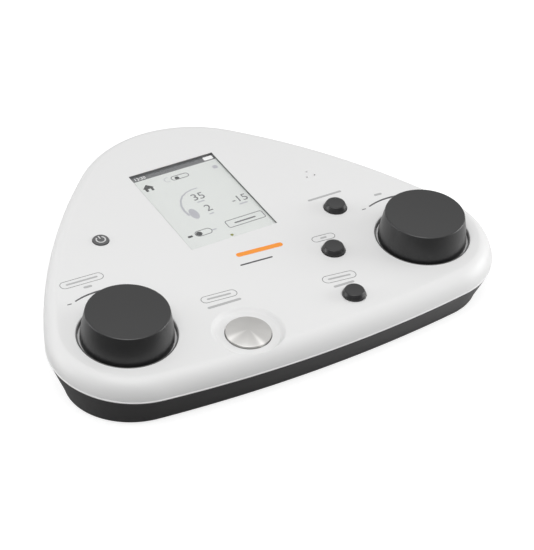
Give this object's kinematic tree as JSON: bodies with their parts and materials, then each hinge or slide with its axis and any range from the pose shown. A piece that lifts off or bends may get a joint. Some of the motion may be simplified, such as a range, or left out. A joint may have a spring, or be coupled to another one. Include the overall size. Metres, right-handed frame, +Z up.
{
  "type": "audiometer",
  "caption": "Desktop hearing tester: rounded three-sided case, sloping panel with touch screen, turning dials, presentation button and domed keys, plug sockets at the back.",
  "frame": {"origin": "on the table under the middle of the case's bounding box", "axes": "+X to the right of a person sitting in front of it, +Y to the back, +Z up"},
  "size_m": [0.2756, 0.2132, 0.0554],
  "materials": {
    "cover_white": "satin white moulding",
    "base_grey": "fine grained dark grey moulding",
    "plate_grey": "fine grained dark grey",
    "foot_rubber": "soft matt",
    "screw_steel": "plain",
    "liner_black": "matt",
    "screen_glass": "clear, slightly anti-glare",
    "display_pale": "lit display",
    "led_green": "lit",
    "carrier_black": "plain moulding",
    "ribbon_amber": "film",
    "board_green": "solder mask",
    "chip_black": "moulded package",
    "microphone_metal": "pressed can",
    "switch_black": "moulded",
    "button_metal": "turned, radial sheen",
    "spring_steel": "drawn wire",
    "plunger_white": "moulded",
    "power_grey": "fine matt with a pale ring and symbol",
    "jack_black": "moulded",
    "nickel": "plated",
    "usb_steel": "pressed shell",
    "battery_wrap": "shrink film",
    "knob_black": "fine matt, slightly soft",
    "hub_brass": "turned",
    "shaft_steel": "turned",
    "encoder_body": "plain can",
    "seat_grey": "plain light grey",
    "key_black": "smooth, slightly soft"
  },
  "bodies": {
    "case": {"top_cover": "cover_white", "base_shell": "base_grey", "battery_door": "base_grey", "rear_plate": "plate_grey", "feet": "foot_rubber", "case_screws": "screw_steel", "board_screws": "screw_steel", "rear_plate_screws": "screw_steel", "battery_door_screw": "screw_steel", "window_gasket": "liner_black", "touch_glass": "screen_glass", "display_panel": "display_pale", "status_led": "led_green", "display_carrier": "carrier_black", "display_ribbon": "ribbon_amber", "main_board": "board_green", "jack_board": "board_green", "board_chips": "chip_black", "microphone": "microphone_metal", "microphone_boot": "liner_black", "key_switches": "switch_black", "stimulus_switch": "switch_black", "power_switch": "switch_black", "stimulus_spring": "spring_steel", "audio_jacks": "jack_black", "jack_nuts": "nickel", "usb_socket": "usb_steel", "battery_pack": "battery_wrap", "left_encoder_bush": "nickel", "left_encoder_nut": "nickel", "left_encoder_washer": "nickel", "left_encoder_body": "encoder_body", "left_dial_seat": "seat_grey", "left_dial_seal": "liner_black", "right_encoder_bush": "nickel", "right_encoder_nut": "nickel", "right_encoder_washer": "nickel", "right_encoder_body": "encoder_body", "right_dial_seat": "seat_grey", "right_dial_seal": "liner_black"},
    "left_dial": {"left_knob": "knob_black", "left_knob_hub": "hub_brass", "left_encoder_shaft": "shaft_steel"},
    "right_dial": {"right_knob": "knob_black", "right_knob_hub": "hub_brass", "right_encoder_shaft": "shaft_steel"},
    "back_key_set": {"back_key": "key_black", "back_key_plunger": "plunger_white"},
    "middle_key_set": {"middle_key": "key_black", "middle_key_plunger": "plunger_white"},
    "front_key_set": {"front_key": "key_black", "front_key_plunger": "plunger_white"},
    "stimulus_set": {"stimulus_button": "button_metal", "stimulus_carrier": "carrier_black", "stimulus_plunger": "plunger_white"},
    "power_set": {"power_key": "power_grey", "power_plunger": "plunger_white"}
  },
  "joints": [
    {"name": "left_dial_turn", "type": "hinge", "parent": "case", "child": "left_dial", "pos_m": [-0.0955, -0.05735, 0.03686], "axis": [0, -0.1184, 0.993], "continuous": true},
    {"name": "right_dial_turn", "type": "hinge", "parent": "case", "child": "right_dial", "pos_m": [0.0955, -0.05735, 0.03686], "axis": [0, -0.1184, 0.993], "continuous": true},
    {"name": "back_key_press", "type": "slide", "parent": "case", "child": "back_key_set", "axis": [0, 0.1184, -0.993], "range_m": [0, 0.0012], "stiffness_N_per_m": 1700, "springref_m": -0.0003},
    {"name": "middle_key_press", "type": "slide", "parent": "case", "child": "middle_key_set", "axis": [0, 0.1184, -0.993], "range_m": [0, 0.0012], "stiffness_N_per_m": 1700, "springref_m": -0.0003},
    {"name": "front_key_press", "type": "slide", "parent": "case", "child": "front_key_set", "axis": [0, 0.1184, -0.993], "range_m": [0, 0.0012], "stiffness_N_per_m": 1700, "springref_m": -0.0003},
    {"name": "stimulus_press", "type": "slide", "parent": "case", "child": "stimulus_set", "axis": [0, 0.1184, -0.993], "range_m": [0, 0.0015], "stiffness_N_per_m": 1200, "springref_m": -0.0005, "deforming": ["stimulus_spring"]},
    {"name": "power_key_press", "type": "slide", "parent": "case", "child": "power_set", "axis": [0, 0.1184, -0.993], "range_m": [0, 0.0005], "stiffness_N_per_m": 3000, "springref_m": -0.0002}
  ]
}
